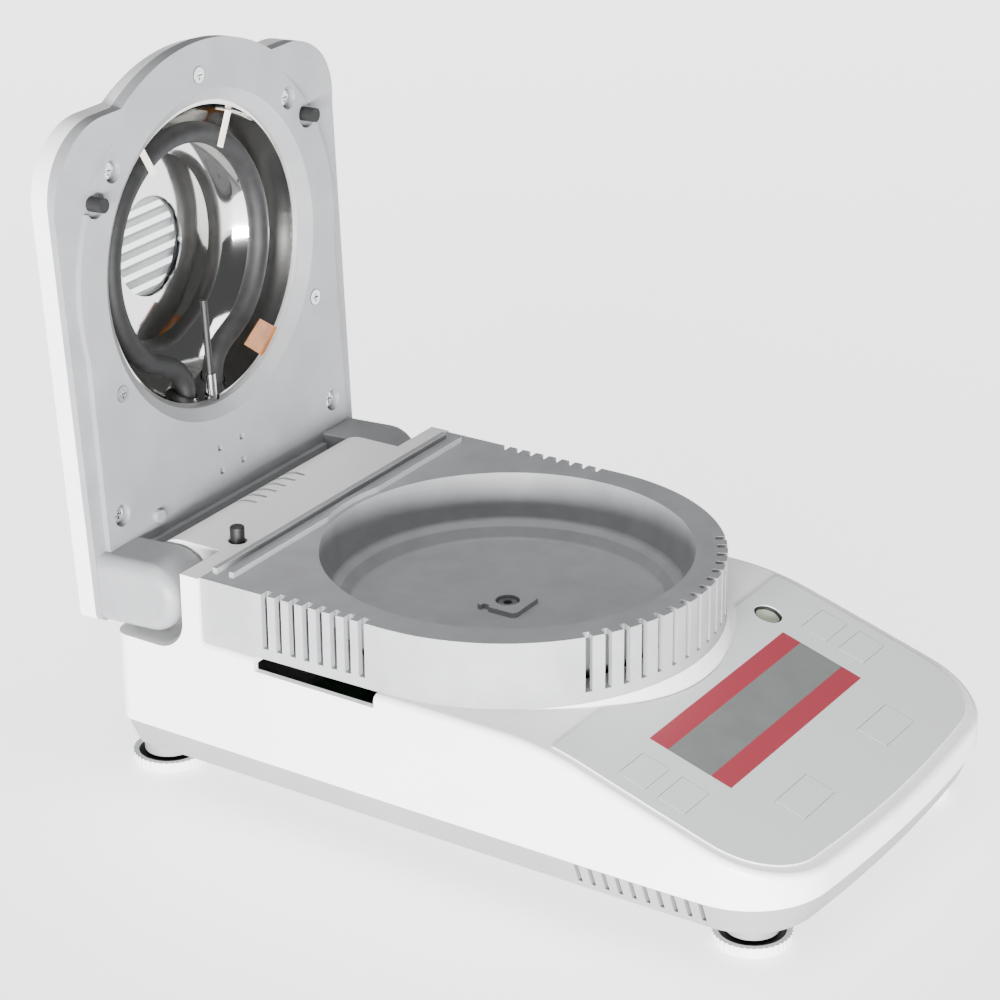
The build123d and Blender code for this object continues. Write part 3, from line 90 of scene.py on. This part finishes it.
def start(name, colour, roughness, metallic=0.0, **sockets):
    """A new material with its shader; the shader's constants are set here."""
    material = bpy.data.materials.new(name)
    material.use_nodes = True
    material.node_tree.nodes.clear()
    shader = add(
        material, "ShaderNodeBsdfPrincipled",
        Base_Color=linear(colour), Roughness=roughness, Metallic=metallic,
    )
    for key, value in sockets.items():
        shader.inputs[key.replace("_", " ")].default_value = value
    output = add(material, "ShaderNodeOutputMaterial")
    material.node_tree.links.new(shader.outputs["BSDF"], output.inputs["Surface"])
    return material, shader


def link(material, source, target):
    material.node_tree.links.new(source, target)


def noise_over(material, size_mm, detail):
    """Noise of a real grain size, fixed to the piece."""
    place = add(material, "ShaderNodeTexCoord")
    return add(
        material, "ShaderNodeTexNoise",
        Vector=place.outputs["Object"], Scale=PER_METRE / size_mm, Detail=detail,
    )


def grain(material, shader, size_mm, height_mm, detail=3.0):
    """A fine moulded or cast texture of a real grain size, as bump."""
    noise = noise_over(material, size_mm, detail)
    bump = add(material, "ShaderNodeBump", Height=noise.outputs["Fac"], Strength=1.0, Distance=height_mm * MM)
    link(material, bump.outputs["Normal"], shader.inputs["Normal"])


def mottle(material, shader, dark, light, size_mm):
    """A slight variation of colour over the surface."""
    noise = noise_over(material, size_mm, MOTTLE_DETAIL)
    ramp = add(material, "ShaderNodeValToRGB", Fac=noise.outputs["Fac"])
    ramp.color_ramp.elements[0].position = MOTTLE_DARK_AT
    ramp.color_ramp.elements[0].color = linear(dark)
    ramp.color_ramp.elements[1].position = MOTTLE_LIGHT_AT
    ramp.color_ramp.elements[1].color = linear(light)
    link(material, ramp.outputs["Color"], shader.inputs["Base Color"])


def satin_spread(material, shader, low, high, size_mm):
    """Roughness that wanders between two values, as handling and moulding leave it."""
    noise = noise_over(material, size_mm, SPREAD_DETAIL)
    span = add(material, "ShaderNodeMapRange", Value=noise.outputs["Fac"], To_Min=low, To_Max=high)
    link(material, span.outputs["Result"], shader.inputs["Roughness"])


# Moulded ABS with a fine satin skin: bright white, soft highlights along its edges
def white_abs():
    material, shader = start("white_abs", "#F1F1F0", 0.34, IOR=1.53)
    mottle(material, shader, "#EFEFEE", "#F3F3F2", 40)
    satin_spread(material, shader, 0.30, 0.38, 25)
    grain(material, shader, 0.9, 0.006)
    return material


# Moulded ABS, light grey: the tray below the seam
def grey_abs():
    material, shader = start("light_grey_abs", "#868786", 0.48, IOR=1.53)
    mottle(material, shader, "#838483", "#898A89", 30)
    grain(material, shader, 0.8, 0.010)
    return material


# Glass-filled nylon for heat: mid grey with an eroded, dry texture that breaks up its sheen
def chamber_nylon():
    material, shader = start("glass_filled_nylon", "#97989A", 0.52, IOR=1.53)
    mottle(material, shader, "#939496", "#9B9C9E", 12)
    grain(material, shader, 0.7, 0.022)
    return material


# The lid's inner frame: the same nylon, a lighter grey
def lid_nylon():
    material, shader = start("light_grey_nylon", "#868789", 0.46, IOR=1.53)
    mottle(material, shader, "#828385", "#8A8B8D", 18)
    grain(material, shader, 0.8, 0.014)
    return material


# Printed polyester film: pale grey, slightly velvet surface
def polyester_film():
    material, shader = start("polyester_film", "#D3D5D6", 0.40, IOR=1.58)
    grain(material, shader, 0.5, 0.004)
    return material


# The same film printed red from behind
def red_film():
    material, shader = start("red_printed_film", "#9C3A46", 0.34, IOR=1.58)
    grain(material, shader, 0.5, 0.004)
    return material


# Clear window over the liquid crystal: grey-green and even, with a soft gloss
def display_clear():
    material, shader = start("display_window", "#747876", 0.22, IOR=1.58)
    mottle(material, shader, "#717573", "#777B79", 14)
    return material


# Epoxy glass laminate with its green solder mask
def circuit_laminate():
    material, shader = start("epoxy_glass_laminate", "#1E5A34", 0.4, IOR=1.55)
    mottle(material, shader, "#1A5230", "#246640", 3)
    return material


# Black polyamide, moulded matt
def black_nylon():
    material, shader = start("black_polyamide", "#0E0E0F", 0.5, IOR=1.53)
    grain(material, shader, 0.6, 0.012)
    return material


# Nitrile rubber: dull black
def black_rubber():
    material, shader = start("nitrile_rubber", "#0D0D0E", 0.75, IOR=1.52)
    grain(material, shader, 0.4, 0.015)
    return material


# Knurled ABS rim of the levelling feet
def knurl_abs():
    material, shader = start("knurl_abs", "#E6E7E6", 0.42, IOR=1.53)
    grain(material, shader, 0.5, 0.010)
    return material


# Machined aluminium of the weighing cell
def milled_aluminium():
    material, shader = start("milled_aluminium", "#C9CBCD", 0.32, metallic=1.0)
    grain(material, shader, 0.5, 0.003)
    return material


# Die-cast zinc with a dull grey coat
def cast_zinc():
    material, shader = start("cast_zinc", "#8A8C8E", 0.55, metallic=1.0)
    grain(material, shader, 1.2, 0.03)
    return material


# Turned and rolled steel: small parts with a bright zinc coat
def zinc_steel():
    material, shader = start("zinc_plated_steel", "#C4C6C8", 0.3, metallic=1.0)
    grain(material, shader, 0.3, 0.004)
    return material


# Polished stainless steel of the screws and sleeves
def bright_steel():
    material, shader = start("polished_stainless_steel", "#DADBDC", 0.14, metallic=1.0)
    grain(material, shader, 0.4, 0.002)
    return material


# Spun reflector of bright-rolled stainless steel: a mirror with a slight wave
def mirror_steel():
    material, shader = start("bright_rolled_steel", "#E4E3E0", 0.06, metallic=1.0)
    satin_spread(material, shader, 0.04, 0.09, 12)
    grain(material, shader, 14, 0.05, detail=1.0)
    return material


# Heat-proof glass over the lid's vent
def clear_glass():
    return start("borosilicate_glass", "#F4F8F7", 0.02, IOR=1.47, Transmission_Weight=1.0)[0]


# Blued spring steel of the ring that holds the glass
def dark_steel():
    material, shader = start("blued_steel", "#5A5B5E", 0.28, metallic=1.0)
    grain(material, shader, 0.5, 0.004)
    return material


# Oxidised sheath of the heater: charcoal, dry, with a fine cloudy scale from the heat
def heater_sheath():
    material, shader = start("oxidised_heater_sheath", "#141415", 0.62)
    mottle(material, shader, "#0F0F10", "#1B1B1C", 5)
    grain(material, shader, 0.5, 0.03)
    return material


# Bright alumina strip of the heater clips
def cream_ceramic():
    material, shader = start("alumina_strip", "#EDE6D6", 0.35, IOR=1.6)
    grain(material, shader, 0.6, 0.006)
    return material


# Steatite terminal block: dense off-white ceramic
def steatite():
    material, shader = start("steatite", "#E4DFD2", 0.4, IOR=1.6)
    grain(material, shader, 0.5, 0.008)
    return material


# Rolled copper band
def copper():
    material, shader = start("rolled_copper", "#B87349", 0.25, metallic=1.0)
    grain(material, shader, 0.4, 0.004)
    return material


# Polyimide film: clear amber, glossy
def polyimide():
    material, shader = start("polyimide_film", "#8A4E0A", 0.2, IOR=1.7)
    mottle(material, shader, "#7C4406", "#9A5C12", 6)
    return material


# Turned brass
def brass():
    material, shader = start("turned_brass", "#C9A45A", 0.25, metallic=1.0)
    grain(material, shader, 0.4, 0.003)
    return material


# Acrylic vial with its tinted liquid
def vial_acrylic():
    material, shader = start("tinted_acrylic", "#B9C4B0", 0.08, IOR=1.49)
    mottle(material, shader, "#B0BCA6", "#C2CCBA", 5)
    return material


finishes = {
    "housing_plastic": white_abs(),
    "tray_plastic": grey_abs(),
    "chamber_plastic": chamber_nylon(),
    "overlay_film": polyester_film(),
    "band_film": red_film(),
    "window_clear": display_clear(),
    "circuit_board": circuit_laminate(),
    "black_plastic": black_nylon(),
    "rubber": black_rubber(),
    "knurl_plastic": knurl_abs(),
    "cell_aluminium": milled_aluminium(),
    "cast_metal": cast_zinc(),
    "steel": zinc_steel(),
    "bright_steel": bright_steel(),
    "lid_frame_plastic": lid_nylon(),
    "reflector_steel": mirror_steel(),
    "lid_glass": clear_glass(),
    "dark_steel": dark_steel(),
    "heater_sheath": heater_sheath(),
    "clip_ceramic": cream_ceramic(),
    "ceramic": steatite(),
    "copper": copper(),
    "amber_film": polyimide(),
    "brass": brass(),
    "vial_acrylic": vial_acrylic(),
}

for name, piece in nodes.items():
    piece.data.materials.clear()
    piece.data.materials.append(finishes[slot_of[name]])


# Studio
def painted_glow_table():
    """Opal acrylic table top with a painted glow that grows away from the camera along its line of sight."""
    material, shader = start("opal_acrylic", "#E3E3E5", 0.6)
    mottle(material, shader, "#E1E1E3", "#E5E5E7", 300)
    shader.inputs["Emission Color"].default_value = linear("#F6F7FA")
    place = add(material, "ShaderNodeTexCoord")
    # Painted light: the glow strength rises along the camera's line of sight, from near under the object to
    # far behind it
    away = (math.sin(math.radians(-CAMERA_AZIMUTH)), math.cos(math.radians(CAMERA_AZIMUTH)), 0)
    reach = add(material, "ShaderNodeVectorMath", {"operation": "DOT_PRODUCT"})
    link(material, place.outputs["Object"], reach.inputs[0])
    reach.inputs[1].default_value = away
    glow = add(
        material, "ShaderNodeMapRange", Value=reach.outputs["Value"],
        From_Min=GLOW_NEAR_AT, From_Max=GLOW_FAR_AT, To_Min=TABLE_GLOW_NEAR, To_Max=TABLE_GLOW_FAR,
    )
    link(material, glow.outputs["Result"], shader.inputs["Emission Strength"])
    return material


def make_floor():
    mesh = bpy.data.meshes.new("painted_glow_table")
    half = TABLE_HALF
    corners = [(-half, -half, 0), (half, -half, 0), (half, half, 0), (-half, half, 0)]
    mesh.from_pydata(corners, [], [(0, 1, 2, 3)])
    floor = bpy.data.objects.new("painted_glow_table", mesh)
    bpy.context.collection.objects.link(floor)
    floor.data.materials.append(painted_glow_table())


def softbox(name, place, target, size, power):
    lamp = bpy.data.lights.new(name, "AREA")
    lamp.shape = "RECTANGLE"
    lamp.size, lamp.size_y = size
    lamp.energy = power
    box = bpy.data.objects.new(name, lamp)
    bpy.context.collection.objects.link(box)
    box.location = place
    box.rotation_mode = "QUATERNION"
    box.rotation_quaternion = (Vector(target) - Vector(place)).to_track_quat("-Z", "Y")


def make_world(code, strength):
    world = bpy.data.worlds.new("studio")
    world.use_nodes = True
    backdrop = world.node_tree.nodes["Background"]
    backdrop.inputs["Color"].default_value = linear(code)
    backdrop.inputs["Strength"].default_value = strength
    bpy.context.scene.world = world


def make_camera():
    """The photograph's camera, turned from its azimuth, elevation and roll."""
    a = math.radians(CAMERA_AZIMUTH)
    e = math.radians(CAMERA_ELEVATION)
    r = math.radians(CAMERA_ROLL)
    back = Vector((math.sin(a) * math.cos(e), -math.cos(a) * math.cos(e), math.sin(e)))
    level = (-back).cross(Vector((0, 0, 1))).normalized()
    above = level.cross(-back)
    right = level * math.cos(r) + above * math.sin(r)
    up = above * math.cos(r) - level * math.sin(r)
    lens = bpy.data.cameras.new("camera")
    lens.sensor_width = SENSOR_WIDTH
    lens.lens = CAMERA_LENS
    lens.clip_start = CLIP_NEAR
    lens.clip_end = CLIP_FAR
    camera = bpy.data.objects.new("camera", lens)
    bpy.context.collection.objects.link(camera)
    turn = Matrix((right, up, back)).transposed().to_4x4()
    camera.matrix_world = Matrix.Translation(CAMERA_AT) @ turn
    bpy.context.scene.camera = camera


make_floor()
make_camera()
make_world(WORLD_COLOUR, WORLD_STRENGTH)
softbox("low_left_softbox", LOW_LEFT_AT, LOW_LEFT_AIM, LOW_LEFT_SIZE, LOW_LEFT_POWER)
softbox("overhead_softbox", OVERHEAD_AT, OVERHEAD_AIM, OVERHEAD_SIZE, OVERHEAD_POWER)
